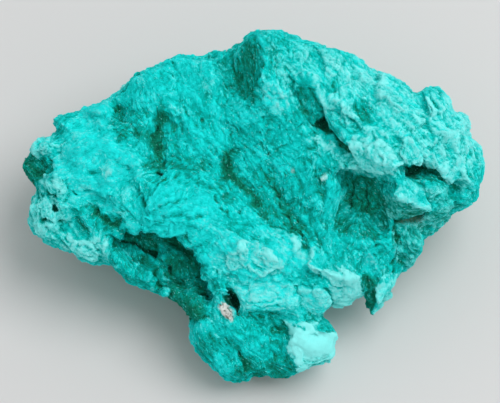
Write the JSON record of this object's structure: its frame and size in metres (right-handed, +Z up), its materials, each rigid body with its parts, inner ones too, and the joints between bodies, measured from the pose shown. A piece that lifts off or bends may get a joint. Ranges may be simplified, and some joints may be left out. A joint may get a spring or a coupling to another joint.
{
  "type": "fibrous malachite specimen",
  "caption": "Rough lump of fibrous green malachite: crusted display face with a silky bowl, overhanging ledges and a lower lobe, on a flat broken base.",
  "frame": {"origin": "middle of the bounding box at the level of the flat base", "axes": "+Z up from the base, +X to the viewer's right as the display face is seen, -Y towards the viewer; the display face leans back 25 degrees from the horizontal"},
  "size_m": [0.0932, 0.0708, 0.0451],
  "materials": {
    "malachite": "rough crust with silky fibrous areas"
  },
  "bodies": {
    "root": {"malachite_specimen": "malachite"}
  },
  "joints": []
}
